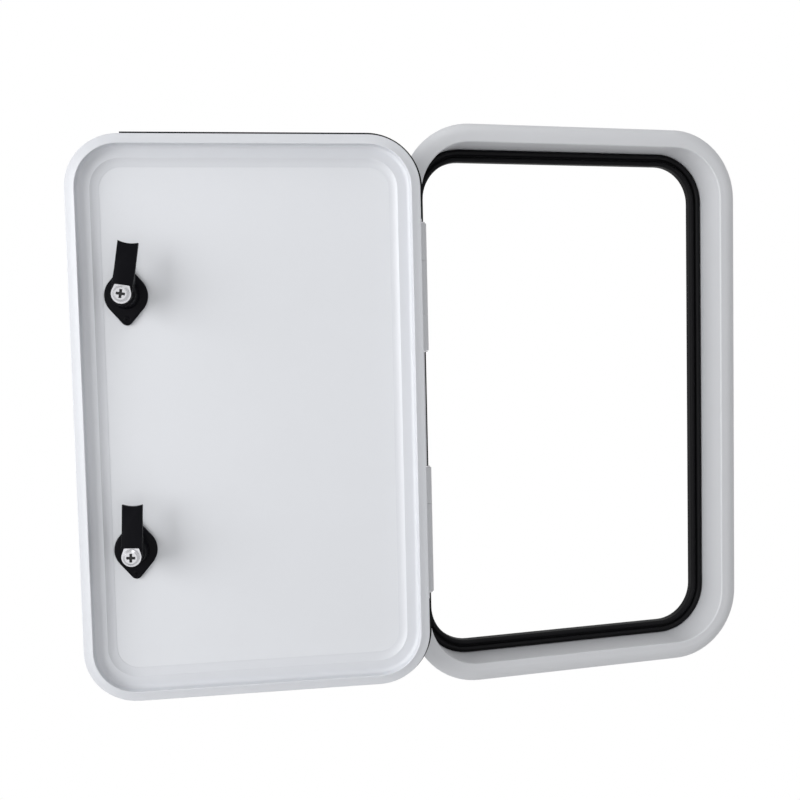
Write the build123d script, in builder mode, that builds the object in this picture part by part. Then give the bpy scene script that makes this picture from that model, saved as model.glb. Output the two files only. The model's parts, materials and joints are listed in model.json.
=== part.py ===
from build123d import *
import os
from math import cos, radians, sin

# Storage door for a caravan wall, in millimetres. X runs to the right, Y into the wall, Z up.
# The origin is the middle of the opening, on the back of the flange that lies against the wall.
# The door is modelled open, swung round to the left so that its inner face shows.

# Frame: a crowned flange outside the wall, a reveal through the wall and a lip that carries the seal
frame_width = 415.4
frame_height = 638.4
frame_corner = 80.2
flange_width = 21.2
flange_rise = 9.6
flange_edge = 4.0
flange_crown_end = 13.4
flange_inner_round = 1.6
reveal_wall = 2.5
lip_depth = 41.0
lip_thick = 2.0
lip_reach = 12.0

# Seal: two soft ridges on the lip, with a grip that folds round the lip's free edge
seal_wall_clearance = 0.4
seal_ridge_width = 6.4
seal_groove = 1.2
seal_web = 3.4
seal_outer_rise = 8.1
seal_inner_rise = 6.8
seal_grip_thick = 1.6
seal_grip_reach = 5.0

# Door leaf: an edge frame with a raised rim and a ledge, round a sandwich panel
door_gap = 4.0
door_seal_clearance = 1.0
rim_width = 10.6
rim_crest_round = 0.9
rim_slope_drop = 2.6
rim_slope_radius = 40.0
rim_edge_round = 1.0
ledge_drop = 10.4
ledge_cove = 4.0
ledge_thick = 3.5
ledge_inset = 23.7
panel_cove_width = 9.0
panel_cove_edge = 0.3
edge_wall = 3.0
edge_outer_round = 2.0
panel_thick = 1.5
skin_thick = 1.5
open_past_flat = 6.5

# Gasket beads on the door's edge, over the top and the bottom and down to the hinges
gasket_depth = 13.5
gasket_width = 6.0
gasket_reach = 3.6
gasket_hinge_gap = 2.0

# Hinges: three knuckles each, the middle one on the frame
hinge_height = 135.5
hinge_length = 140.0
middle_knuckle = 59.0
knuckle_radius = 5.6
knuckle_clearance = 0.3
knuckle_seat = 0.2
pin_radius = 2.5
pin_clearance = 0.05
pin_head_radius = 4.2
pin_head_thick = 1.4
pin_outside_reveal = 3.0
leaf_thick = 2.4
frame_leaf_width = 18.0
door_leaf_width = 34.0
leaf_corner = 4.0
leaf_screw_spacing = 92.0
leaf_screw_from_edge = 6.5
leaf_screw_radius = 2.1
leaf_screw_head_radius = 3.9

# Cam latches: a diamond plate with a boss, a cranked tongue held by a screw, and a wing handle outside
upper_latch_height = 130.0
lower_latch_height = -135.3
latch_from_edge = 56.0
plate_middle_radius = 22.1
plate_tip_radius = 6.0
plate_tip_offset = 24.9
plate_thick = 4.0
plate_chamfer = 1.0
plate_screw_radius = 1.8
plate_screw_head_radius = 3.6
boss_radius = 14.0
boss_rise = 18.0
boss_taper = 8.0
spindle_radius = 6.0
spindle_clearance = 0.1
bore_clearance = 1.0
tongue_width = 20.5
tongue_length = 52.8
tongue_thick = 5.5
tongue_seat = 0.5
tongue_lift = 9.2
tongue_end_radius = 29.5
tongue_end_hollow = 1.8
hub_rise = 16.0
hub_shoulder = 19.0
hub_shoulder_start = 9.0
hub_slope_end = 24.0
hub_under_start = 14.0
hub_under_end = 21.0
upper_lean = 9.0
lower_lean = 2.6
washer_radius = 9.8
washer_tab_width = 15.4
washer_corner = 1.2
washer_tab_clearance = 0.1
washer_thick = 1.8
screw_head_radius = 8.0
screw_head_thick = 4.4
screw_head_chamfer = 2.0
screw_shank_radius = 3.0
screw_shank_length = 14.0
screw_clearance = 0.05
recess_length = 9.0
recess_width = 2.8
recess_depth = 2.8
escutcheon_radius = 28.0
escutcheon_thick = 3.0
escutcheon_chamfer = 1.2
handle_radius = 21.0
handle_base_thick = 5.0
handle_chamfer = 1.0
handle_seat = 0.4
wing_length = 36.0
wing_width = 9.0
wing_rise = 13.0
wing_corner = 4.2
wing_chamfer = 1.5

# Places that follow from the sizes
lip_back = lip_depth + lip_thick
seal_outer_inset = flange_width + seal_wall_clearance
seal_inner_inset = seal_outer_inset + 2 * seal_ridge_width + seal_groove
rim_closed_depth = lip_depth - seal_outer_rise - door_seal_clearance
door_inset = flange_width + door_gap
door_width = frame_width - 2 * door_inset
door_height = frame_height - 2 * door_inset
door_corner = frame_corner - door_inset
door_thick = rim_closed_depth + flange_rise
panel_depth = ledge_drop + ledge_thick
core_depth = panel_depth + panel_thick
skin_depth = door_thick - skin_thick
pin_x = -(frame_width / 2 - flange_width) - pin_outside_reveal
pin_y = -(flange_rise + knuckle_seat + knuckle_radius)
pin_from_edge = door_gap + pin_outside_reveal
pin_from_middle = door_width / 2 + pin_from_edge
pin_to_rim = rim_closed_depth - pin_y
leaf_top = flange_rise + leaf_thick
hinge_end = hinge_height + hinge_length / 2
outer_knuckle = (hinge_length - middle_knuckle) / 2 - knuckle_clearance
outer_knuckle_offset = (hinge_length - outer_knuckle) / 2
latch_x = latch_from_edge - door_width / 2
boss_top = panel_depth - plate_thick - boss_rise
hub_base = boss_top - tongue_seat
hub_seat = hub_base - hub_rise
screw_seat = hub_seat - washer_thick
handle_base = door_thick + escutcheon_thick + handle_seat

# The open door's own plane: x towards the hinge, y up, z out of its inner face
turn = radians(open_past_flat)
door_across = Vector(cos(turn), -sin(turn), 0)
door_normal = Vector(-sin(turn), -cos(turn), 0)
pin_axis = Vector(pin_x, pin_y, 0)
door_middle = pin_axis - door_across * pin_from_middle + door_normal * pin_to_rim
door_plane = Plane(origin=door_middle, x_dir=door_across, z_dir=door_normal)
door_axis = Axis(door_middle, door_normal)
leaf_face = Plane(
    origin=door_plane.offset(-door_thick - leaf_thick).origin, x_dir=door_across, z_dir=-door_normal
)


def bent_section(draw_section, plane, width, height, corner):
    """Run a section round a rounded rectangle: straight runs are extruded and corners revolved.

    The section's x is the distance in from the outline and its y the height above the plane.
    """
    half_width, half_height = width / 2 - corner, height / 2 - corner
    with BuildPart() as ring:
        for quarter in range(4):
            along, across = (half_height, half_width) if quarter % 2 == 0 else (half_width, half_height)
            inward = Vector(-1, 0, 0).rotate(Axis.Z, 90 * quarter)
            onward = Vector(0, 1, 0).rotate(Axis.Z, 90 * quarter)
            start = plane.from_local_coords(-inward * (across + corner) - onward * along)
            end = plane.from_local_coords(-inward * (across + corner) + onward * along)
            centre = plane.from_local_coords(-inward * across + onward * along)
            inward = plane.from_local_coords(inward) - plane.origin
            onward = plane.from_local_coords(onward) - plane.origin
            with BuildSketch(Plane(origin=start, x_dir=inward, z_dir=onward)):
                with BuildLine():
                    draw_section()
                make_face()
            extrude(amount=2 * along)
            with BuildSketch(Plane(origin=end, x_dir=inward, z_dir=onward)):
                with BuildLine():
                    draw_section()
                make_face()
            revolve(axis=Axis(centre, plane.z_dir), revolution_arc=90)
    return ring


def frame_section():
    """Draw the frame's section: crowned flange, reveal wall and seal lip."""
    inner_flat = flange_width - flange_inner_round
    wall_back = flange_width - reveal_wall
    Polyline(
        (0, flange_edge),
        (0, 0),
        (wall_back, 0),
        (wall_back, -lip_back),
        (flange_width + lip_reach, -lip_back),
        (flange_width + lip_reach, -lip_depth),
        (flange_width, -lip_depth),
        (flange_width, flange_rise - flange_inner_round),
    )
    RadiusArc(
        (flange_width, flange_rise - flange_inner_round), (inner_flat, flange_rise), -flange_inner_round
    )
    Line((inner_flat, flange_rise), (flange_crown_end, flange_rise))
    TangentArc((flange_crown_end, flange_rise), (0, flange_edge), tangent=(-1, 0))


def seal_section():
    """Draw the seal's section: two round ridges and a grip round the lip."""
    ridge_radius = seal_ridge_width / 2
    lip_end = flange_width + lip_reach
    groove_floor = -lip_depth + seal_web
    outer_spring = -lip_depth + seal_outer_rise - ridge_radius
    inner_spring = -lip_depth + seal_inner_rise - ridge_radius
    outer_right = seal_outer_inset + seal_ridge_width
    inner_left = outer_right + seal_groove
    Polyline(
        (inner_left, inner_spring),
        (inner_left, groove_floor),
        (outer_right, groove_floor),
        (outer_right, outer_spring),
    )
    ThreePointArc(
        (outer_right, outer_spring),
        (outer_right - ridge_radius, outer_spring + ridge_radius),
        (seal_outer_inset, outer_spring),
    )
    Polyline(
        (seal_outer_inset, outer_spring),
        (seal_outer_inset, -lip_depth),
        (lip_end, -lip_depth),
        (lip_end, -lip_back),
        (lip_end - seal_grip_reach, -lip_back),
        (lip_end - seal_grip_reach, -lip_back - seal_grip_thick),
        (seal_inner_inset, -lip_back - seal_grip_thick),
        (seal_inner_inset, inner_spring),
    )
    ThreePointArc(
        (seal_inner_inset, inner_spring),
        (seal_inner_inset - ridge_radius, inner_spring + ridge_radius),
        (inner_left, inner_spring),
    )


def edge_section():
    """Draw the door edge frame's section: outer wall, crested rim, ledge and a cove down to the panel."""
    crest = rim_width - rim_crest_round
    cove_end = rim_width + ledge_cove
    foot = ledge_inset + panel_cove_width
    slope_foot = -rim_slope_drop - rim_edge_round
    Polyline(
        (edge_outer_round, -door_thick),
        (edge_wall, -door_thick),
        (edge_wall, -panel_depth),
        (foot, -panel_depth),
        (foot, panel_cove_edge - panel_depth),
    )
    TangentArc((foot, panel_cove_edge - panel_depth), (ledge_inset, -ledge_drop), tangent=(-1, 0))
    Line((ledge_inset, -ledge_drop), (cove_end, -ledge_drop))
    RadiusArc((cove_end, -ledge_drop), (rim_width, ledge_cove - ledge_drop), ledge_cove)
    Line((rim_width, ledge_cove - ledge_drop), (rim_width, -rim_crest_round))
    RadiusArc((rim_width, -rim_crest_round), (crest, 0), -rim_crest_round)
    RadiusArc((crest, 0), (rim_edge_round, -rim_slope_drop), rim_slope_radius)
    RadiusArc((rim_edge_round, -rim_slope_drop), (0, slope_foot), -rim_edge_round)
    Line((0, slope_foot), (0, edge_outer_round - door_thick))
    RadiusArc((0, edge_outer_round - door_thick), (edge_outer_round, -door_thick), -edge_outer_round)


def panel_outline():
    """Draw a sheet that fills the edge frame, bored for both latch spindles."""
    RectangleRounded(door_width - 2 * edge_wall, door_height - 2 * edge_wall, door_corner - edge_wall)
    with Locations((latch_x, upper_latch_height), (latch_x, lower_latch_height)):
        Circle(spindle_radius + bore_clearance, mode=Mode.SUBTRACT)


def latch_plane(height, depth, lean=0.0):
    """Plane square to a latch's axis at a depth below the door's rim, leaning towards the hinge."""
    middle = door_plane.offset(-depth).from_local_coords((latch_x, height, 0))
    leaning = door_across.rotate(Axis((0, 0, 0), door_normal), -lean)
    return Plane(origin=middle, x_dir=leaning, z_dir=door_normal)


def save(piece, name):
    """Label a finished piece and write it as one file."""
    piece.part.label = name
    export_step(piece.part, f"parts/{name}.step")


os.makedirs("parts", exist_ok=True)

# Frame and seal
frame_extrusion = bent_section(frame_section, Plane.XZ, frame_width, frame_height, frame_corner)
save(frame_extrusion, "frame_extrusion")

frame_seal = bent_section(seal_section, Plane.XZ, frame_width, frame_height, frame_corner)
save(frame_seal, "frame_seal")

# Door edge frame
door_edge_frame = bent_section(edge_section, door_plane, door_width, door_height, door_corner)
save(door_edge_frame, "door_edge_frame")

# Sandwich panel: inner sheet, foam core and outer skin
with BuildPart() as door_inner_panel:
    with BuildSketch(door_plane.offset(-panel_depth)):
        panel_outline()
    extrude(amount=-panel_thick)
save(door_inner_panel, "door_inner_panel")

with BuildPart() as door_core:
    with BuildSketch(door_plane.offset(-core_depth)):
        panel_outline()
    extrude(amount=-(skin_depth - core_depth))
save(door_core, "door_core")

with BuildPart() as door_outer_skin:
    with BuildSketch(door_plane.offset(-skin_depth)):
        panel_outline()
    extrude(amount=-skin_thick)
save(door_outer_skin, "door_outer_skin")

# Gasket beads, hinges and latches, each in an upper and a lower copy
for name, side, latch_height, lean in (
    ("upper", 1, upper_latch_height, upper_lean),
    ("lower", -1, lower_latch_height, lower_lean),
):
    hinge_z = side * hinge_height
    knuckle_edge = knuckle_radius + knuckle_clearance

    # Gasket bead, from the corner at the free side to the hinge
    with BuildPart() as door_gasket:
        with BuildSketch(door_plane.offset(-gasket_depth)):
            RectangleRounded(
                door_width + 2 * gasket_reach, door_height + 2 * gasket_reach, door_corner + gasket_reach
            )
            RectangleRounded(door_width, door_height, door_corner, mode=Mode.SUBTRACT)
            bead_width = door_width - door_corner + gasket_reach
            bead_start = hinge_end + gasket_hinge_gap
            bead_height = door_height / 2 + gasket_reach - bead_start
            bead_x = door_corner - door_width / 2 + bead_width / 2
            with Locations((bead_x, side * (bead_start + bead_height / 2))):
                Rectangle(bead_width, bead_height, mode=Mode.INTERSECT)
        extrude(amount=-gasket_width)
    save(door_gasket, f"door_gasket_{name}")

    # Hinge leaf on the flange, its underside shaped to the crown, with the middle knuckle
    with BuildPart() as frame_leaf:
        with BuildSketch(Plane.XZ.offset(flange_edge)):
            with Locations((pin_x - knuckle_edge, hinge_z)):
                Rectangle(frame_leaf_width - knuckle_edge, hinge_length, align=(Align.MAX, Align.CENTER))
            with Locations((pin_x, hinge_z)):
                Rectangle(frame_leaf_width, middle_knuckle, align=(Align.MAX, Align.CENTER))
        extrude(amount=leaf_top - flange_edge)
        add(frame_extrusion.part, mode=Mode.SUBTRACT)
        with Locations((pin_x, pin_y, hinge_z)):
            Cylinder(knuckle_radius, middle_knuckle)
            Cylinder(pin_radius + pin_clearance, hinge_length, mode=Mode.SUBTRACT)
        with Locations(Plane.XZ.offset(leaf_top)):
            with Locations((pin_x - frame_leaf_width + leaf_screw_from_edge, hinge_z)):
                with GridLocations(0, leaf_screw_spacing, 1, 2):
                    CounterSinkHole(leaf_screw_radius, leaf_screw_head_radius, depth=leaf_top)
    save(frame_leaf, f"hinge_{name}_frame_leaf")

    # Hinge leaf on the door's outer face, with the two outer knuckles
    with BuildPart() as door_leaf:
        with BuildSketch(door_plane.offset(-door_thick)):
            with Locations((pin_from_middle, hinge_z)):
                Rectangle(door_leaf_width, hinge_length, align=(Align.MAX, Align.CENTER))
                Rectangle(
                    knuckle_edge,
                    middle_knuckle + 2 * knuckle_clearance,
                    align=(Align.MAX, Align.CENTER),
                    mode=Mode.SUBTRACT,
                )
        extrude(amount=-leaf_thick)
        fillet(door_leaf.edges().filter_by(door_axis).sort_by(Axis.X)[:2], leaf_corner)
        with Locations(
            (pin_x, pin_y, hinge_z - outer_knuckle_offset), (pin_x, pin_y, hinge_z + outer_knuckle_offset)
        ):
            Cylinder(knuckle_radius, outer_knuckle)
        with Locations((pin_x, pin_y, hinge_z)):
            Cylinder(pin_radius + pin_clearance, hinge_length, mode=Mode.SUBTRACT)
        with Locations(leaf_face):
            with Locations((pin_from_middle - door_leaf_width + leaf_screw_from_edge, -hinge_z)):
                with GridLocations(0, leaf_screw_spacing, 1, 2):
                    CounterSinkHole(leaf_screw_radius, leaf_screw_head_radius, depth=leaf_thick)
    save(door_leaf, f"hinge_{name}_door_leaf")

    # Hinge pin with a head at each end
    with BuildPart() as hinge_pin:
        head_offset = hinge_length / 2 + knuckle_clearance + pin_head_thick / 2
        with Locations((pin_x, pin_y, hinge_z)):
            Cylinder(pin_radius, hinge_length + 2 * knuckle_clearance + pin_head_thick)
        with Locations((pin_x, pin_y, hinge_z - head_offset), (pin_x, pin_y, hinge_z + head_offset)):
            Cylinder(pin_head_radius, pin_head_thick)
    save(hinge_pin, f"hinge_{name}_pin")

    # Latch base plate: a diamond with a tapered boss that carries the spindle
    with BuildPart() as base_plate:
        with BuildSketch(latch_plane(latch_height, panel_depth)):
            Circle(plate_middle_radius)
            with Locations((0, plate_tip_offset), (0, -plate_tip_offset)):
                Circle(plate_tip_radius)
            make_hull()
        extrude(amount=plate_thick)
        plate_top = base_plate.faces().filter_by(door_axis).sort_by(door_axis)[-1]
        chamfer(plate_top.edges(), plate_chamfer)
        with BuildSketch(latch_plane(latch_height, panel_depth - plate_thick)):
            Circle(boss_radius)
        extrude(amount=boss_rise, taper=boss_taper)
        with BuildSketch(latch_plane(latch_height, panel_depth)):
            Circle(spindle_radius + spindle_clearance)
        extrude(amount=plate_thick + boss_rise, mode=Mode.SUBTRACT)
        with Locations(latch_plane(latch_height, panel_depth - plate_thick)):
            with Locations((0, plate_tip_offset), (0, -plate_tip_offset)):
                CounterSinkHole(plate_screw_radius, plate_screw_head_radius, depth=plate_thick)
    save(base_plate, f"latch_{name}_base_plate")

    # Cranked tongue: a side profile as wide as the tongue, cut to a round hub and a hollow end
    tongue_plane = latch_plane(latch_height, hub_base, lean)
    side_plane = Plane(origin=tongue_plane.origin, x_dir=tongue_plane.y_dir, z_dir=tongue_plane.x_dir)
    with BuildPart() as tongue:
        with BuildSketch(side_plane):
            with BuildLine():
                Polyline(
                    (-tongue_width / 2, 0),
                    (hub_under_start, 0),
                    (hub_under_end, tongue_lift),
                    (tongue_length, tongue_lift),
                    (tongue_length, tongue_lift + tongue_thick),
                    (hub_slope_end, tongue_lift + tongue_thick),
                    (hub_shoulder_start, hub_shoulder),
                    (hub_shoulder_start, hub_rise),
                    (-tongue_width / 2, hub_rise),
                    close=True,
                )
            make_face()
        extrude(amount=tongue_width / 2, both=True)
        with BuildSketch(tongue_plane):
            Circle(tongue_width / 2)
            Rectangle(tongue_width, tongue_length, align=(Align.CENTER, Align.MIN))
            with Locations((0, tongue_length + tongue_end_radius - tongue_end_hollow)):
                Circle(tongue_end_radius, mode=Mode.SUBTRACT)
        extrude(amount=hub_shoulder, mode=Mode.INTERSECT)
        with BuildSketch(tongue_plane):
            Circle(spindle_radius)
        extrude(amount=hub_rise, mode=Mode.SUBTRACT)
    save(tongue, f"latch_{name}_tongue")

    # Tab washer, squared against the tongue's shoulder so that it can't turn
    with BuildPart() as washer:
        with BuildSketch(latch_plane(latch_height, hub_seat, lean)):
            corner_x = washer_tab_width / 2 - washer_corner
            corner_y = hub_shoulder_start - washer_tab_clearance - washer_corner
            Circle(washer_radius)
            with Locations((corner_x, corner_y), (-corner_x, corner_y)):
                Circle(washer_corner)
            make_hull()
            with Locations((0, hub_shoulder_start - washer_tab_clearance - washer_radius)):
                Rectangle(2 * washer_radius, 2 * washer_radius, mode=Mode.INTERSECT)
            Circle(screw_shank_radius + screw_clearance, mode=Mode.SUBTRACT)
        extrude(amount=washer_thick)
    save(washer, f"latch_{name}_washer")

    # Screw with a cross recess
    with BuildPart() as screw:
        with BuildSketch(latch_plane(latch_height, screw_seat)):
            Circle(screw_head_radius)
        extrude(amount=screw_head_thick)
        head_top = screw.faces().filter_by(door_axis).sort_by(door_axis)[-1]
        chamfer(head_top.edges(), screw_head_chamfer)
        with BuildSketch(latch_plane(latch_height, screw_seat - screw_head_thick, lean)):
            Rectangle(recess_length, recess_width)
            Rectangle(recess_width, recess_length)
        extrude(amount=-recess_depth, mode=Mode.SUBTRACT)
        with BuildSketch(latch_plane(latch_height, screw_seat)):
            Circle(screw_shank_radius)
        extrude(amount=-screw_shank_length)
    save(screw, f"latch_{name}_screw")

    # Spindle through the door, tapped for the screw
    with BuildPart() as spindle:
        with BuildSketch(latch_plane(latch_height, hub_seat)):
            Circle(spindle_radius)
        extrude(amount=-(handle_base - hub_seat))
        with BuildSketch(latch_plane(latch_height, hub_seat)):
            Circle(screw_shank_radius + screw_clearance)
        extrude(amount=-screw_shank_length, mode=Mode.SUBTRACT)
    save(spindle, f"latch_{name}_spindle")

    # Round plate under the outside handle
    with BuildPart() as escutcheon:
        with BuildSketch(latch_plane(latch_height, door_thick)):
            Circle(escutcheon_radius)
            Circle(spindle_radius + bore_clearance, mode=Mode.SUBTRACT)
        extrude(amount=-escutcheon_thick)
        outer_rim = escutcheon.faces().filter_by(door_axis).sort_by(door_axis)[0]
        chamfer(outer_rim.outer_wire().edges(), escutcheon_chamfer)
    save(escutcheon, f"latch_{name}_escutcheon")

    # Wing handle outside
    with BuildPart() as handle:
        with BuildSketch(latch_plane(latch_height, handle_base)):
            Circle(handle_radius)
        extrude(amount=-handle_base_thick)
        chamfer(handle.faces().sort_by(door_axis)[0].edges(), handle_chamfer)
        with BuildSketch(latch_plane(latch_height, handle_base + handle_base_thick, lean)):
            RectangleRounded(wing_width, wing_length, wing_corner)
        extrude(amount=-wing_rise)
        wing_face = handle.faces().filter_by(door_axis).sort_by(door_axis)[0]
        chamfer(wing_face.edges(), wing_chamfer)
    save(handle, f"latch_{name}_handle")
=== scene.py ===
"""Looks of a caravan storage door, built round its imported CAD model.

The door stands open, swung to the left of its frame, under soft light from the left.
"""

import json
import logging
from dataclasses import dataclass, field
from enum import Enum
from math import inf, radians

import bpy
from mathutils import Euler, Matrix, Vector


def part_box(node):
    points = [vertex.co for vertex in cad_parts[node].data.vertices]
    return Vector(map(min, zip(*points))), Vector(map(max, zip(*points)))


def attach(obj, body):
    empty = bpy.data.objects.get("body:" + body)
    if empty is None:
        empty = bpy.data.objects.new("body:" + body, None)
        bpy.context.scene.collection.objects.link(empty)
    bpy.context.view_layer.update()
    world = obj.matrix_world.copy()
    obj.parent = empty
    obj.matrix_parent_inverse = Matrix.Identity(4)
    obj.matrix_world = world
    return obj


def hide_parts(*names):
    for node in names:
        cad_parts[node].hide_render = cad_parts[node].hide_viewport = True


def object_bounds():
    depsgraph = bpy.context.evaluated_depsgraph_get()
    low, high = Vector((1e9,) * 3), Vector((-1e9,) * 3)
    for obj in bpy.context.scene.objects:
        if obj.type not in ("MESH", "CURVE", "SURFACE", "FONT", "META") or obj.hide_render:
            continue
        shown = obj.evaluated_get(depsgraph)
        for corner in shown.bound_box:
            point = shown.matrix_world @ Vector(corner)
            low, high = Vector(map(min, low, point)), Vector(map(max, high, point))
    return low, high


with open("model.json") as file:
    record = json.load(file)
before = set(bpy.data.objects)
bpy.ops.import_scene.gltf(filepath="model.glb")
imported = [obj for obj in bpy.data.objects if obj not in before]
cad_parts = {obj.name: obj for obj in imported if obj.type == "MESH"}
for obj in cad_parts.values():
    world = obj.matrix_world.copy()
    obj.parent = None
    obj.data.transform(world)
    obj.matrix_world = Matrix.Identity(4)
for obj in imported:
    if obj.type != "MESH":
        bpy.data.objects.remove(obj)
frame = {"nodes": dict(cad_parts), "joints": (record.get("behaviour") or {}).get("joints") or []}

CAD_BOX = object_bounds()
MM = 0.001
SMOOTH_ANGLE = radians(35)
SHARP_ANGLE = radians(30)
FLAT_ANGLE = radians(1)
WELD_DISTANCE = 0.01 * MM
SHORT_EDGE = 0.5 * MM
ROUND_STEPS = 2
UPPER_LEAN = radians(9.0)
LOWER_LEAN = radians(2.6)
DRIFT_DETAIL = 3.0
GRAIN_DETAIL = 2.0
LINE_DETAIL = 4.0
LINE_STRETCH = (1.0, 1.0, 0.05)

log = logging.getLogger("storage_door")

Colour = tuple[float, float, float, float]
WHITE: Colour = (1.0, 1.0, 1.0, 1.0)


class Side(Enum):
    """The upper or the lower of a pair of hinges or latches."""

    UPPER = "upper"
    LOWER = "lower"


class Slot(Enum):
    """Names of two of the record's material slots; nothing in the script uses them."""

    STEEL = "bright_steel"
    PLASTIC = "black_plastic"


class NodeBoard:
    """A node tree with short calls to add and join nodes."""

    def __init__(self, tree: bpy.types.NodeTree) -> None:
        """Start on a tree and clear it.

        Args:
            tree: The tree of a material, world or node group.
        """
        self.tree = tree
        tree.nodes.clear()

    def add(self, kind: str, **settings: object) -> bpy.types.Node:
        """Add a node and set its properties.

        Args:
            kind: The node's type name.
            **settings: Properties of the node by name.

        Returns:
            The new node.
        """
        node = self.tree.nodes.new(kind)
        for name, value in settings.items():
            setattr(node, name, value)
        return node

    def join(self, start: bpy.types.NodeSocket, end: bpy.types.NodeSocket) -> None:
        """Link an output socket to an input socket."""
        self.tree.links.new(start, end)


def new_group(name: str, inputs: dict[str, str], outputs: dict[str, str]) -> NodeBoard:
    """Make a shader node group with named sockets.

    Args:
        name: The group's name.
        inputs: Input socket types by name.
        outputs: Output socket types by name.

    Returns:
        A board on the group's tree.
    """
    tree = bpy.data.node_groups.new(name, "ShaderNodeTree")
    board = NodeBoard(tree)
    for way, sockets in (("INPUT", inputs), ("OUTPUT", outputs)):
        for label, kind in sockets.items():
            tree.interface.new_socket(name=label, in_out=way, socket_type=kind)
    return board


def surface_grain_group() -> bpy.types.NodeTree:
    """Build the shared grain: a drifting tint, uneven gloss and a fine texture.

    Returns:
        The node group.
    """
    number, colour = "NodeSocketFloat", "NodeSocketColor"
    board = new_group(
        "surface_grain",
        {
            "Vector": "NodeSocketVector",
            "Colour": colour,
            "Tint": colour,
            "Drift Scale": number,
            "Grain Scale": number,
            "Gloss Low": number,
            "Gloss High": number,
        },
        {"Colour": colour, "Roughness": number, "Height": number},
    )
    source = board.add("NodeGroupInput")
    result = board.add("NodeGroupOutput")
    drift = board.add("ShaderNodeTexNoise")
    drift.inputs["Detail"].default_value = DRIFT_DETAIL
    grain = board.add("ShaderNodeTexNoise")
    grain.inputs["Detail"].default_value = GRAIN_DETAIL
    tint = board.add("ShaderNodeMix", data_type="RGBA")
    gloss = board.add("ShaderNodeMapRange")
    board.join(source.outputs["Vector"], drift.inputs["Vector"])
    board.join(source.outputs["Vector"], grain.inputs["Vector"])
    board.join(source.outputs["Drift Scale"], drift.inputs["Scale"])
    board.join(source.outputs["Grain Scale"], grain.inputs["Scale"])
    board.join(drift.outputs["Fac"], tint.inputs["Factor"])
    board.join(source.outputs["Colour"], tint.inputs["A"])
    board.join(source.outputs["Tint"], tint.inputs["B"])
    board.join(drift.outputs["Fac"], gloss.inputs["Value"])
    board.join(source.outputs["Gloss Low"], gloss.inputs["To Min"])
    board.join(source.outputs["Gloss High"], gloss.inputs["To Max"])
    board.join(tint.outputs["Result"], result.inputs["Colour"])
    board.join(gloss.outputs["Result"], result.inputs["Roughness"])
    board.join(grain.outputs["Fac"], result.inputs["Height"])
    return board.tree


def brushed_group() -> bpy.types.NodeTree:
    """Build the shared brushed texture: fine lines drawn out along one direction.

    Returns:
        The node group.
    """
    number = "NodeSocketFloat"
    board = new_group(
        "brushed_lines",
        {"Vector": "NodeSocketVector", "Line Scale": number, "Gloss Low": number, "Gloss High": number},
        {"Roughness": number, "Height": number},
    )
    source = board.add("NodeGroupInput")
    result = board.add("NodeGroupOutput")
    stretch = board.add("ShaderNodeMapping")
    stretch.inputs["Scale"].default_value = LINE_STRETCH
    lines = board.add("ShaderNodeTexNoise")
    lines.inputs["Detail"].default_value = LINE_DETAIL
    gloss = board.add("ShaderNodeMapRange")
    board.join(source.outputs["Vector"], stretch.inputs["Vector"])
    board.join(stretch.outputs["Vector"], lines.inputs["Vector"])
    board.join(source.outputs["Line Scale"], lines.inputs["Scale"])
    board.join(lines.outputs["Fac"], gloss.inputs["Value"])
    board.join(source.outputs["Gloss Low"], gloss.inputs["To Min"])
    board.join(source.outputs["Gloss High"], gloss.inputs["To Max"])
    board.join(gloss.outputs["Result"], result.inputs["Roughness"])
    board.join(lines.outputs["Fac"], result.inputs["Height"])
    return board.tree


@dataclass(frozen=True)
class GrainFinish:
    """A moulded, coated or rubber surface with a fine grain.

    Scales are in cycles per metre and the grain's depth is in metres.
    """

    name: str
    colour: Colour
    tint: Colour
    gloss: tuple[float, float]
    grain_scale: float
    grain_depth: float
    drift_scale: float = 14.0
    specular: float = 0.5

    def material(self, grain: bpy.types.NodeTree) -> bpy.types.Material:
        """Make the finish's material.

        Args:
            grain: The shared grain group.

        Returns:
            The material.
        """
        material = bpy.data.materials.new(self.name)
        material.use_nodes = True
        board = NodeBoard(material.node_tree)
        output = board.add("ShaderNodeOutputMaterial")
        surface = board.add("ShaderNodeBsdfPrincipled")
        surface.inputs["Specular IOR Level"].default_value = self.specular
        place = board.add("ShaderNodeTexCoord")
        texture = board.add("ShaderNodeGroup", node_tree=grain)
        texture.inputs["Colour"].default_value = self.colour
        texture.inputs["Tint"].default_value = self.tint
        texture.inputs["Drift Scale"].default_value = self.drift_scale
        texture.inputs["Grain Scale"].default_value = self.grain_scale
        texture.inputs["Gloss Low"].default_value = self.gloss[0]
        texture.inputs["Gloss High"].default_value = self.gloss[1]
        relief = board.add("ShaderNodeBump")
        relief.inputs["Distance"].default_value = self.grain_depth
        board.join(place.outputs["Object"], texture.inputs["Vector"])
        board.join(texture.outputs["Colour"], surface.inputs["Base Color"])
        board.join(texture.outputs["Roughness"], surface.inputs["Roughness"])
        board.join(texture.outputs["Height"], relief.inputs["Height"])
        board.join(relief.outputs["Normal"], surface.inputs["Normal"])
        board.join(surface.outputs["BSDF"], output.inputs["Surface"])
        return material


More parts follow.
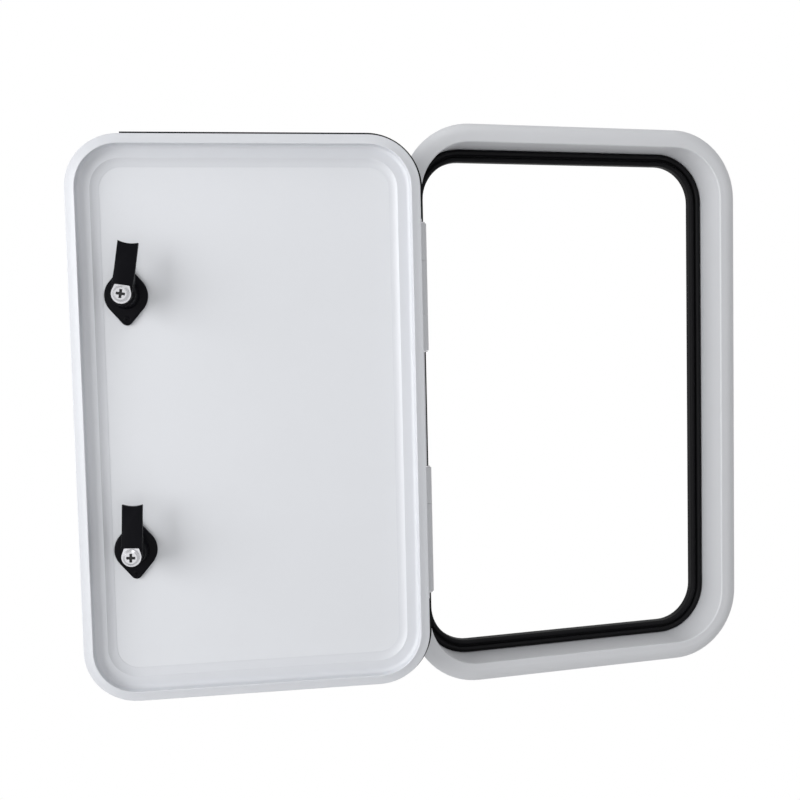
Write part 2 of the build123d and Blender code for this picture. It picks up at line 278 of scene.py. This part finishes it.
@dataclass(frozen=True)
class MetalFinish:
    """Bare or plated steel with fine brushed lines.

    The line scale is in cycles per metre and the line depth in metres.
    """

    name: str
    colour: Colour
    gloss: tuple[float, float]
    line_scale: float
    line_depth: float

    def material(self, brushed: bpy.types.NodeTree) -> bpy.types.Material:
        """Make the finish's material.

        Args:
            brushed: The shared brushed group.

        Returns:
            The material.
        """
        material = bpy.data.materials.new(self.name)
        material.use_nodes = True
        board = NodeBoard(material.node_tree)
        output = board.add("ShaderNodeOutputMaterial")
        surface = board.add("ShaderNodeBsdfPrincipled")
        surface.inputs["Base Color"].default_value = self.colour
        surface.inputs["Metallic"].default_value = 1.0
        place = board.add("ShaderNodeTexCoord")
        texture = board.add("ShaderNodeGroup", node_tree=brushed)
        texture.inputs["Line Scale"].default_value = self.line_scale
        texture.inputs["Gloss Low"].default_value = self.gloss[0]
        texture.inputs["Gloss High"].default_value = self.gloss[1]
        relief = board.add("ShaderNodeBump")
        relief.inputs["Distance"].default_value = self.line_depth
        board.join(place.outputs["Object"], texture.inputs["Vector"])
        board.join(texture.outputs["Roughness"], surface.inputs["Roughness"])
        board.join(texture.outputs["Height"], relief.inputs["Height"])
        board.join(relief.outputs["Normal"], surface.inputs["Normal"])
        board.join(surface.outputs["BSDF"], output.inputs["Surface"])
        return material


POWDER_COAT = GrainFinish(
    name="white_powder_coat",
    colour=(0.655, 0.665, 0.69, 1.0),
    tint=(0.635, 0.645, 0.67, 1.0),
    gloss=(0.34, 0.46),
    grain_scale=900.0,
    grain_depth=0.00006,
)
EDGE_COAT = GrainFinish(
    name="white_edge_coat",
    colour=(0.675, 0.69, 0.725, 1.0),
    tint=(0.655, 0.67, 0.705, 1.0),
    gloss=(0.36, 0.48),
    grain_scale=900.0,
    grain_depth=0.00005,
)
COATED_SHEET = GrainFinish(
    name="white_coated_sheet",
    colour=(0.735, 0.75, 0.785, 1.0),
    tint=(0.715, 0.73, 0.76, 1.0),
    gloss=(0.42, 0.55),
    grain_scale=1400.0,
    grain_depth=0.00003,
    drift_scale=7.0,
)
SOFT_RUBBER = GrainFinish(
    name="black_soft_rubber",
    colour=(0.0035, 0.0035, 0.0042, 1.0),
    tint=(0.007, 0.007, 0.008, 1.0),
    gloss=(0.42, 0.6),
    grain_scale=1200.0,
    grain_depth=0.00008,
    drift_scale=40.0,
    specular=0.08,
)
MOULDED_PLASTIC = GrainFinish(
    name="black_moulded_plastic",
    colour=(0.0024, 0.0024, 0.0036, 1.0),
    tint=(0.0044, 0.0044, 0.0062, 1.0),
    gloss=(0.3, 0.44),
    grain_scale=1500.0,
    grain_depth=0.00007,
    drift_scale=60.0,
    specular=0.05,
)
# Painted shade: a near-black finish for a cross set in the latch screw's recess, where only shade falls.
PAINTED_RECESS_SHADE = GrainFinish(
    name="painted_recess_shade",
    colour=(0.02, 0.02, 0.021, 1.0),
    tint=(0.05, 0.05, 0.052, 1.0),
    gloss=(0.5, 0.7),
    grain_scale=2200.0,
    grain_depth=0.0001,
    drift_scale=300.0,
    specular=0.1,
)
RIGID_FOAM = GrainFinish(
    name="rigid_foam",
    colour=(0.72, 0.70, 0.60, 1.0),
    tint=(0.66, 0.63, 0.52, 1.0),
    gloss=(0.8, 0.95),
    grain_scale=700.0,
    grain_depth=0.0004,
    drift_scale=90.0,
)
BRIGHT_STEEL = MetalFinish(
    name="bright_steel",
    colour=(0.47, 0.47, 0.49, 1.0),
    gloss=(0.18, 0.34),
    line_scale=2600.0,
    line_depth=0.00002,
)
ZINC_STEEL = MetalFinish(
    name="zinc_plated_steel",
    colour=(0.58, 0.59, 0.61, 1.0),
    gloss=(0.3, 0.5),
    line_scale=1800.0,
    line_depth=0.00004,
)


class Finishes:
    """Every material of the door, made once."""

    def __init__(self) -> None:
        """Build the shared groups and the materials."""
        grain, brushed = surface_grain_group(), brushed_group()
        self.coat = POWDER_COAT.material(grain)
        self.edge = EDGE_COAT.material(grain)
        self.sheet = COATED_SHEET.material(grain)
        self.rubber = SOFT_RUBBER.material(grain)
        self.plastic = MOULDED_PLASTIC.material(grain)
        self.foam = RIGID_FOAM.material(grain)
        # Painted shade for the latch screw's recess.
        self.recess = PAINTED_RECESS_SHADE.material(grain)
        self.steel = BRIGHT_STEEL.material(brushed)
        self.zinc = ZINC_STEEL.material(brushed)


def dress(piece: bpy.types.Object, material: bpy.types.Material) -> None:
    """Give a piece or CAD node one material.

    Args:
        piece: The object to dress.
        material: Its material.
    """
    piece.data.materials.clear()
    piece.data.materials.append(material)


def dress_node(name: str, material: bpy.types.Material) -> None:
    """Give a CAD node one material and report it."""
    dress(frame["nodes"][name], material)
    log.info("dressed %s with %s", name, material.name)


def pick_only(*pieces: bpy.types.Object) -> None:
    """Select these objects and no others, the first one active.

    Args:
        *pieces: The objects.
    """
    bpy.ops.object.select_all(action="DESELECT")
    for piece in pieces:
        piece.select_set(True)
    bpy.context.view_layer.objects.active = pieces[0]


def pick_faces(
    piece: bpy.types.Object, facing: Vector, share: float = 0.9, reach: float = inf
) -> None:
    """Leave selected, in edit mode, the faces that point along a direction.

    Args:
        piece: The active object, in edit mode.
        facing: The direction, of length one.
        share: The least cosine between a face's normal and the direction.
        reach: How far a face's middle may lie from the line through the origin, in metres.
    """
    bpy.ops.mesh.select_all(action="DESELECT")
    bpy.ops.mesh.select_mode(type="FACE")
    bpy.ops.object.mode_set(mode="OBJECT")
    for face in piece.data.polygons:
        aside = face.center - facing * face.center.dot(facing)
        face.select = face.normal.dot(facing) > share and aside.length < reach
    bpy.ops.object.mode_set(mode="EDIT")


def cut(piece: bpy.types.Object, cutter: bpy.types.Object) -> None:
    """Cut one mesh from another and delete the cutter.

    Args:
        piece: The mesh that stays.
        cutter: The mesh that is taken out of it.
    """
    pick_only(piece)
    removal = piece.modifiers.new("cut", "BOOLEAN")
    removal.operation = "DIFFERENCE"
    removal.solver = "EXACT"
    removal.object = cutter
    bpy.ops.object.modifier_apply(modifier=removal.name)
    bpy.data.objects.remove(cutter)


def soften(piece: bpy.types.Object, width: float, clamp: bool = True) -> None:
    """Round a piece's sharp edges and smooth its shading.

    Args:
        piece: The mesh to finish.
        width: The bevel's width in metres.
        clamp: Whether short edges hold the bevel back.
    """
    pick_only(piece)
    rounding = piece.modifiers.new("round", "BEVEL")
    rounding.width = width
    rounding.segments = ROUND_STEPS
    rounding.use_clamp_overlap = clamp
    rounding.limit_method = "ANGLE"
    rounding.angle_limit = SHARP_ANGLE
    bpy.ops.object.modifier_apply(modifier=rounding.name)
    bpy.ops.object.shade_smooth_by_angle(angle=SMOOTH_ANGLE)


def mould_copy(node: str, name: str, width: float) -> bpy.types.Object:
    """Copy a moulded CAD node's mesh and round its sharp edges as a mould leaves them.

    Args:
        node: The CAD node.
        name: The copy's name.
        width: The rounding's width in metres.

    Returns:
        The copy.
    """
    piece = bpy.data.objects.new(name, frame["nodes"][node].data.copy())
    bpy.context.scene.collection.objects.link(piece)
    pick_only(piece)
    bpy.ops.mesh.customdata_custom_splitnormals_clear()
    bpy.ops.object.mode_set(mode="EDIT")
    bpy.ops.mesh.select_all(action="SELECT")
    bpy.ops.mesh.remove_doubles(threshold=WELD_DISTANCE)
    bpy.ops.mesh.dissolve_limited(angle_limit=FLAT_ANGLE)
    bpy.ops.mesh.select_all(action="SELECT")
    bpy.ops.mesh.remove_doubles(threshold=SHORT_EDGE)
    bpy.ops.object.mode_set(mode="OBJECT")
    soften(piece, width, clamp=False)
    return piece


@dataclass(frozen=True)
class Seat:
    """A place on the object: a point, the direction out of the surface and the direction up along it."""

    point: Vector
    out: Vector
    up: Vector

    def matrix(self) -> Matrix:
        """Work out the matrix of this place.

        Returns:
            The matrix that takes local X, Y (up) and Z (out) here.
        """
        across = self.up.cross(self.out)
        turn = Matrix((across, self.up, self.out)).transposed()
        return Matrix.Translation(self.point) @ turn.to_4x4()

    def moved(self, across: float = 0.0, up: float = 0.0, out: float = 0.0) -> "Seat":
        """Return a seat moved along its own directions, in metres."""
        step = self.up.cross(self.out) * across + self.up * up + self.out * out
        return Seat(self.point + step, self.out, self.up)

    def leaning(self, angle: float) -> "Seat":
        """Return a seat that leans clockwise by an angle in radians, seen from outside."""
        up = Matrix.Rotation(-angle, 3, self.out) @ self.up
        return Seat(self.point, self.out, up)


def seat_piece(piece: bpy.types.Object, seat: Seat, body: str) -> None:
    """Put a finished piece in place, write the place into its mesh and let it ride on a body.

    Args:
        piece: A mesh modelled round the origin, with Z out of the surface that carries it.
        seat: Where it goes.
        body: The CAD body that it moves with.
    """
    pick_only(piece)
    piece.matrix_world = seat.matrix()
    bpy.ops.object.transform_apply(location=True, rotation=True, scale=True)
    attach(piece, body)
    log.info("placed %s on %s", piece.name, body)


def joint_seat(name: str) -> Seat:
    """Return the place and direction of a latch's joint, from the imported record.

    Args:
        name: The joint's name.

    Returns:
        A seat on the door's rim plane, out of the inner face, with Z up.
    """
    joint = next(one for one in frame["joints"] if one["name"] == name)
    return Seat(Vector(joint["pos_m"]), Vector(joint["axis"]).normalized(), Vector((0, 0, 1)))


@dataclass
class CountersunkScrew:
    """A small countersunk screw with a cross recess, flush with its plate."""

    head_radius: float = 3.4 * MM
    foot_radius: float = 1.7 * MM
    depth: float = 1.9 * MM
    dome: float = 0.25 * MM
    recess_length: float = 3.8 * MM
    recess_width: float = 0.9 * MM
    recess_depth: float = 1.1 * MM
    corner: float = 0.15 * MM
    sides: int = 36
    dome_inset: float = 0.35
    recess_taper: float = 0.8

    def build(self, name: str) -> bpy.types.Object:
        """Model the screw round the origin, with its head's edge at height zero.

        Args:
            name: The piece's name.

        Returns:
            The screw.
        """
        bpy.ops.object.select_all(action="DESELECT")
        bpy.ops.mesh.primitive_cone_add(
            vertices=self.sides,
            radius1=self.foot_radius,
            radius2=self.head_radius,
            depth=self.depth,
            location=(0, 0, -self.depth / 2),
        )
        screw = bpy.context.active_object
        screw.name = name
        bpy.ops.object.transform_apply(location=True, rotation=True, scale=True)
        bpy.ops.object.mode_set(mode="EDIT")
        pick_faces(screw, Vector((0, 0, 1)))
        bpy.ops.mesh.inset(thickness=self.head_radius * self.dome_inset, depth=self.dome)
        bpy.ops.object.mode_set(mode="OBJECT")
        for length, width in (
            (self.recess_length, self.recess_width),
            (self.recess_width, self.recess_length),
        ):
            cut(screw, self.recess(length, width))
        soften(screw, self.corner)
        return screw

    def recess(self, length: float, width: float) -> bpy.types.Object:
        """Make one bar of the cross recess, narrower at the bottom.

        Args:
            length: The bar's size along X in metres.
            width: Its size along Y in metres.

        Returns:
            The bar, to be cut from the screw.
        """
        bpy.ops.object.select_all(action="DESELECT")
        bpy.ops.mesh.primitive_cube_add(size=1, location=(0, 0, self.dome))
        bar = bpy.context.active_object
        bar.scale = (length, width, 2 * self.recess_depth)
        bpy.ops.object.transform_apply(location=True, rotation=True, scale=True)
        bpy.ops.object.mode_set(mode="EDIT")
        pick_faces(bar, Vector((0, 0, -1)))
        bpy.ops.transform.resize(value=(self.recess_taper, self.recess_taper, 1.0))
        bpy.ops.object.mode_set(mode="OBJECT")
        return bar


@dataclass
class FrameAssembly:
    """The flanged frame and its seal, which are fixed in the wall."""

    def dress(self, finishes: Finishes) -> None:
        """Give the frame's nodes their finishes."""
        dress_node("frame_extrusion", finishes.coat)
        dress_node("frame_seal", finishes.rubber)


@dataclass
class DoorLeaf:
    """The door's edge frame, sandwich panel and gasket beads."""

    def dress(self, finishes: Finishes) -> None:
        """Give the leaf's nodes their finishes.

        Args:
            finishes: The door's materials.
        """
        dress_node("door_edge_frame", finishes.edge)
        dress_node("door_inner_panel", finishes.sheet)
        dress_node("door_outer_skin", finishes.sheet)
        dress_node("door_core", finishes.foam)
        for side in Side:
            dress_node(f"door_gasket_{side.value}", finishes.rubber)


@dataclass
class Hinge:
    """A knuckle hinge, with the countersunk screws in its two leaves."""

    side: Side
    screw: CountersunkScrew = field(
        default_factory=lambda: CountersunkScrew(
            head_radius=3.7 * MM, foot_radius=2.0 * MM, recess_length=4.4 * MM, recess_width=1.0 * MM
        )
    )
    screw_spacing: float = 92.0 * MM
    screw_from_edge: float = 6.5 * MM
    screw_sink: float = 0.1 * MM
    leaf_thick: float = 2.4 * MM

    def dress(self, finishes: Finishes) -> None:
        """Give the hinge's nodes their finishes.

        Args:
            finishes: The door's materials.
        """
        for part, material in (
            ("frame_leaf", finishes.coat),
            ("door_leaf", finishes.coat),
            ("pin", finishes.steel),
        ):
            dress_node(f"hinge_{self.side.value}_{part}", material)

    def frame_seat(self) -> Seat:
        """Find the middle of the frame leaf's screw line.

        Returns:
            A seat on the leaf's face.
        """
        low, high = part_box(f"hinge_{self.side.value}_frame_leaf")
        face = -self.leaf_face()
        middle = Vector((low.x + self.screw_from_edge, face, (low.z + high.z) / 2))
        return Seat(middle, Vector((0, -1, 0)), Vector((0, 0, 1)))

    def leaf_face(self) -> float:
        """Return how far the frame leaf's face stands in front of the wall, in metres."""
        low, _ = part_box("frame_extrusion")
        return -low.y + self.leaf_thick

    def door_seat(self) -> Seat:
        """Find the middle of the door leaf's screw line.

        Returns:
            A seat on the leaf's outer face.
        """
        latch = joint_seat(f"latch_{self.side.value}_turn")
        low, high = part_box(f"hinge_{self.side.value}_door_leaf")
        across = latch.up.cross(latch.out)
        outward = -latch.out
        corners = [v.co for v in frame["nodes"][f"hinge_{self.side.value}_door_leaf"].data.vertices]
        left = min(corner.dot(across) for corner in corners)
        flat = [corner for corner in corners if corner.dot(across) < left + 2 * self.screw_from_edge]
        face = max(corner.dot(outward) for corner in flat)
        middle = across * (left + self.screw_from_edge) + outward * face
        return Seat(middle + Vector((0, 0, (low.z + high.z) / 2)), outward, latch.up)

    def build(self, finishes: Finishes) -> None:
        """Model the screws in both leaves.

        Args:
            finishes: The door's materials.
        """
        for leaf, seat, body in (
            ("frame_leaf", self.frame_seat(), "frame"),
            ("door_leaf", self.door_seat(), "door"),
        ):
            for number, up in enumerate((-self.screw_spacing / 2, self.screw_spacing / 2), start=1):
                piece = self.screw.build(f"hinge_{self.side.value}_{leaf}_screw_{number}")
                dress(piece, finishes.steel)
                seat_piece(piece, seat.moved(up=up, out=-self.screw_sink), body)


@dataclass
class CamLatch:
    """A cam latch: diamond plate, cranked tongue, tab washer and screw inside, wing handle outside."""

    side: Side
    lean: float
    plate_depth: float = 9.9 * MM
    plate_tip: float = 24.9 * MM
    screw_sink: float = 0.25 * MM
    wing_face_depth: float = 62.9 * MM
    key_radius: float = 3.4 * MM
    key_stand: float = 0.5 * MM
    key_sink: float = 0.6 * MM
    key_slot_length: float = 3.8 * MM
    key_slot_width: float = 0.7 * MM
    key_corner: float = 0.12 * MM
    key_sides: int = 40
    key_border: float = 0.2
    key_step: float = 0.08
    recess_length: float = 8.8 * MM
    recess_width: float = 2.6 * MM
    recess_depth: float = 2.8 * MM
    recess_fill: float = 1.7 * MM
    recess_corner: float = 0.2 * MM
    mould_round: float = 0.5 * MM
    mould_pattern: str = "latch_upper"
    screw: CountersunkScrew = field(default_factory=CountersunkScrew)

    @property
    def body(self) -> str:
        """Name the body that turns."""
        return f"latch_{self.side.value}"

    def dress(self, finishes: Finishes) -> None:
        """Give the latch's nodes their finishes and round the moulded ones.

        Args:
            finishes: The door's materials.
        """
        for part, material in (
            ("base_plate", finishes.plastic),
            ("tongue", finishes.plastic),
            ("washer", finishes.steel),
            ("screw", finishes.steel),
            ("spindle", finishes.zinc),
            ("escutcheon", finishes.plastic),
            ("handle", finishes.plastic),
        ):
            dress_node(f"{self.body}_{part}", material)
        for part, body in (("base_plate", "door"), ("tongue", self.body), ("handle", self.body)):
            self.mould(part, body, finishes.plastic)

    def mould(self, part: str, body: str, material: bpy.types.Material) -> None:
        """Stand a rounded copy in for a moulded node, the upper latch's mesh at both latches.

        Args:
            part: The node's name without the latch's.
            body: The body that it belongs to.
            material: The copy's material.
        """
        node = f"{self.body}_{part}"
        piece = mould_copy(f"{self.mould_pattern}_{part}", f"{node}_moulded", self.mould_round)
        upper = joint_seat(f"{self.mould_pattern}_turn")
        here = joint_seat(f"{self.body}_turn")
        lean = UPPER_LEAN - self.lean if body == self.body else 0.0
        turn = Matrix.Rotation(lean, 4, here.out)
        piece.data.transform(Matrix.Translation(here.point) @ turn @ Matrix.Translation(-upper.point))
        dress(piece, material)
        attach(piece, body)
        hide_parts(node)
        log.info("moulded %s in place of %s", piece.name, node)

    def build(self, finishes: Finishes) -> None:
        """Model the plate's screws, the painted shade in the big screw's cross recess and the handle's
        key disc.

        Args:
            finishes: The door's materials.
        """
        axis = joint_seat(f"{self.body}_turn")
        corners = [vertex.co for vertex in frame["nodes"][f"{self.body}_screw"].data.vertices]
        head = max((corner - axis.point).dot(axis.out) for corner in corners)
        # A near-black cross in the screw's recess is painted shade.
        recess = self.painted_shade_cross()
        dress(recess, finishes.recess)
        seat_piece(
            recess, axis.moved(out=head - self.recess_depth).leaning(self.lean), self.body
        )
        plate = axis.moved(out=-self.plate_depth)
        for place, up in (("top", self.plate_tip), ("bottom", -self.plate_tip)):
            piece = self.screw.build(f"{self.body}_plate_screw_{place}")
            dress(piece, finishes.plastic)
            seat_piece(piece, plate.moved(up=up, out=-self.screw_sink), "door")
        wing = axis.moved(out=-self.wing_face_depth).leaning(self.lean)
        outside = Seat(wing.point, -wing.out, wing.up)
        disc = self.key_disc()
        dress(disc, finishes.steel)
        seat_piece(disc, outside, self.body)

    def painted_shade_cross(self) -> bpy.types.Object:
        """Model a near-black cross of painted shade for the screw's cross recess, standing on height
        zero.

        Returns:
            The cross.
        """
        bpy.ops.object.select_all(action="DESELECT")
        bpy.ops.mesh.primitive_cube_add(size=1, location=(0, 0, self.recess_fill / 2))
        cross = bpy.context.active_object
        cross.name = f"{self.body}_screw_recess_painted_shade"
        cross.scale = (self.recess_width, self.recess_width, self.recess_fill)
        bpy.ops.object.transform_apply(location=True, rotation=True, scale=True)
        arm = (self.recess_length - self.recess_width) / 2
        bpy.ops.object.mode_set(mode="EDIT")
        for way in (Vector((1, 0, 0)), Vector((-1, 0, 0)), Vector((0, 1, 0)), Vector((0, -1, 0))):
            pick_faces(cross, way, reach=self.recess_width / 2)
            bpy.ops.mesh.extrude_region_move(TRANSFORM_OT_translate={"value": way * arm})
        bpy.ops.object.mode_set(mode="OBJECT")
        soften(cross, self.recess_corner)
        return cross

    def key_disc(self) -> bpy.types.Object:
        """Model the key disc, sunk in the wing's face, with a slot for the key.

        Returns:
            The disc.
        """
        bpy.ops.object.select_all(action="DESELECT")
        bpy.ops.mesh.primitive_cylinder_add(
            vertices=self.key_sides,
            radius=self.key_radius,
            depth=self.key_stand + self.key_sink,
            location=(0, 0, (self.key_stand - self.key_sink) / 2),
        )
        disc = bpy.context.active_object
        disc.name = f"{self.body}_key_disc"
        bpy.ops.object.transform_apply(location=True, rotation=True, scale=True)
        bpy.ops.object.mode_set(mode="EDIT")
        pick_faces(disc, Vector((0, 0, 1)))
        bpy.ops.mesh.inset(thickness=self.key_radius * self.key_border)
        bpy.ops.mesh.inset(thickness=self.key_radius * self.key_step, depth=-self.key_stand / 2)
        bpy.ops.object.mode_set(mode="OBJECT")
        bpy.ops.mesh.primitive_cube_add(size=1)
        slot = bpy.context.active_object
        slot.scale = (self.key_slot_width, self.key_slot_length, 2 * self.key_stand)
        pick_only(slot)
        bpy.ops.object.transform_apply(location=True, rotation=True, scale=True)
        cut(disc, slot)
        soften(disc, self.key_corner)
        return disc


@dataclass(frozen=True)
class Lamp:
    """A soft square lamp: its place and side in metres and its power in watts."""

    name: str
    place: tuple[float, float, float]
    side: float
    power: float


LAMPS = (
    Lamp("key_lamp", (-3.9, -1.6, 0.5), 3.0, 136.0),
    Lamp("fill_lamp", (-0.6, -2.4, -0.8), 2.2, 16.0),
    Lamp("top_lamp", (0.2, -1.2, 2.6), 1.5, 14.0),
)


@dataclass
class Studio:
    """The floor, backdrop colour, lights and camera."""

    floor_size: float = 14.0
    floor_drop: float = 0.35
    floor_colour: Colour = (0.86, 0.86, 0.86, 1.0)
    ambient: float = 0.35
    target: Vector = field(default_factory=lambda: Vector((-0.2, 0.0, 0.0)))
    camera_place: Vector = field(default_factory=lambda: Vector((-0.49272, -1.09014, 0.07728)))
    camera_turn: tuple[float, float, float] = (86.589, 1.318, -14.409)
    lens: float = 45.0
    sensor: float = 36.0

    def seen_white(self, board: NodeBoard) -> bpy.types.NodeSocket:
        """Return a mask of the rays that see the backdrop as plain white.

        Args:
            board: The tree that gets the nodes.

        Returns:
            The mask's socket.
        """
        path = board.add("ShaderNodeLightPath")
        first = board.add("ShaderNodeMath", operation="MAXIMUM")
        second = board.add("ShaderNodeMath", operation="MAXIMUM")
        board.join(path.outputs["Is Camera Ray"], first.inputs[0])
        board.join(path.outputs["Is Glossy Ray"], first.inputs[1])
        board.join(first.outputs["Value"], second.inputs[0])
        board.join(path.outputs["Is Transmission Ray"], second.inputs[1])
        return second.outputs["Value"]

    def build_floor(self) -> None:
        """Lay the floor below the frame, which hangs in its wall."""
        bpy.ops.object.select_all(action="DESELECT")
        low = CAD_BOX[0][2] - self.floor_drop
        bpy.ops.mesh.primitive_plane_add(size=self.floor_size, location=(0, 0, low))
        floor = bpy.context.active_object
        floor.name = "studio_floor"
        material = bpy.data.materials.new("studio_floor")
        material.use_nodes = True
        board = NodeBoard(material.node_tree)
        output = board.add("ShaderNodeOutputMaterial")
        matt = board.add("ShaderNodeBsdfDiffuse")
        matt.inputs["Color"].default_value = self.floor_colour
        white = board.add("ShaderNodeEmission")
        mix = board.add("ShaderNodeMixShader")
        board.join(self.seen_white(board), mix.inputs["Fac"])
        board.join(matt.outputs["BSDF"], mix.inputs[1])
        board.join(white.outputs["Emission"], mix.inputs[2])
        board.join(mix.outputs["Shader"], output.inputs["Surface"])
        dress(floor, material)

    def build_world(self) -> None:
        """Set an even grey light from all round and a white backdrop."""
        world = bpy.data.worlds.new("studio_world")
        bpy.context.scene.world = world
        world.use_nodes = True
        board = NodeBoard(world.node_tree)
        output = board.add("ShaderNodeOutputWorld")
        around = board.add("ShaderNodeBackground")
        around.inputs["Color"].default_value = WHITE
        around.inputs["Strength"].default_value = self.ambient
        white = board.add("ShaderNodeBackground")
        white.inputs["Color"].default_value = WHITE
        mix = board.add("ShaderNodeMixShader")
        board.join(self.seen_white(board), mix.inputs["Fac"])
        board.join(around.outputs["Background"], mix.inputs[1])
        board.join(white.outputs["Background"], mix.inputs[2])
        board.join(mix.outputs["Shader"], output.inputs["Surface"])

    def build_lamp(self, lamp: Lamp) -> None:
        """Add a soft lamp that points at the door.

        Args:
            lamp: The lamp's place, size and power.
        """
        light = bpy.data.lights.new(lamp.name, "AREA")
        light.size = lamp.side
        light.energy = lamp.power
        place = Vector(lamp.place)
        holder = bpy.data.objects.new(lamp.name, light)
        holder.location = place
        holder.rotation_euler = (self.target - place).to_track_quat("-Z", "Y").to_euler()
        bpy.context.scene.collection.objects.link(holder)

    def build_camera(self) -> None:
        """Set the camera at the photograph's viewing angle."""
        camera = bpy.data.cameras.new("camera")
        camera.lens = self.lens
        camera.sensor_width = self.sensor
        holder = bpy.data.objects.new("camera", camera)
        holder.location = self.camera_place
        holder.rotation_euler = Euler([radians(turn) for turn in self.camera_turn], "XYZ")
        bpy.context.scene.collection.objects.link(holder)
        bpy.context.scene.camera = holder

    def build(self) -> None:
        """Build the whole studio."""
        bpy.context.scene.view_settings.view_transform = "Standard"
        self.build_floor()
        self.build_world()
        for lamp in LAMPS:
            self.build_lamp(lamp)
        self.build_camera()


def main() -> None:
    """Build every sub-assembly in order, then the studio."""
    logging.basicConfig(level=logging.INFO, format="%(message)s")
    finishes = Finishes()
    FrameAssembly().dress(finishes)
    DoorLeaf().dress(finishes)
    for side in Side:
        hinge = Hinge(side)
        hinge.dress(finishes)
        hinge.build(finishes)
    for side, lean in ((Side.UPPER, UPPER_LEAN), (Side.LOWER, LOWER_LEAN)):
        latch = CamLatch(side, lean)
        latch.dress(finishes)
        latch.build(finishes)
    Studio().build()


if __name__ == "__main__":
    main()
